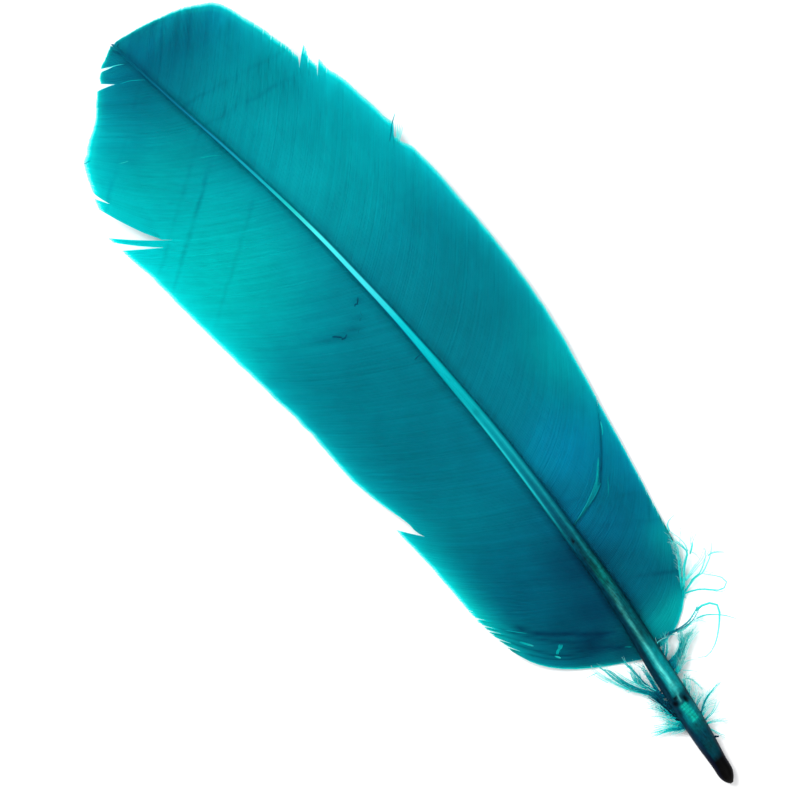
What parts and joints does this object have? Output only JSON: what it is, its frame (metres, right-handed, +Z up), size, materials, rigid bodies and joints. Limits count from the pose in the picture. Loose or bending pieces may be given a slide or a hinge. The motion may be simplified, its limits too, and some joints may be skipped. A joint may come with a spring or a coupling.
{
  "type": "turkey wing feather",
  "caption": "Teal-dyed turkey wing feather with quill, grooved rachis, two broad vanes with natural splits, and down at the base, lying hollow side up.",
  "frame": {"origin": "centre of the bounding box in plan, on the surface that the feather lies on", "axes": "+Y from the quill's end to the feather's tip, +X to the right with the tip pointing away, +Z up, the way the feather's hollow underside faces"},
  "size_m": [0.0858, 0.2796, 0.0099],
  "materials": {
    "vane": "silky matt dyed barbs, thin and translucent at the edges",
    "shaft": "satin dyed horn, black at the quill's end",
    "down": "loose fluffy dyed barbs"
  },
  "bodies": {
    "root": {"feather": "vane"}
  },
  "joints": []
}
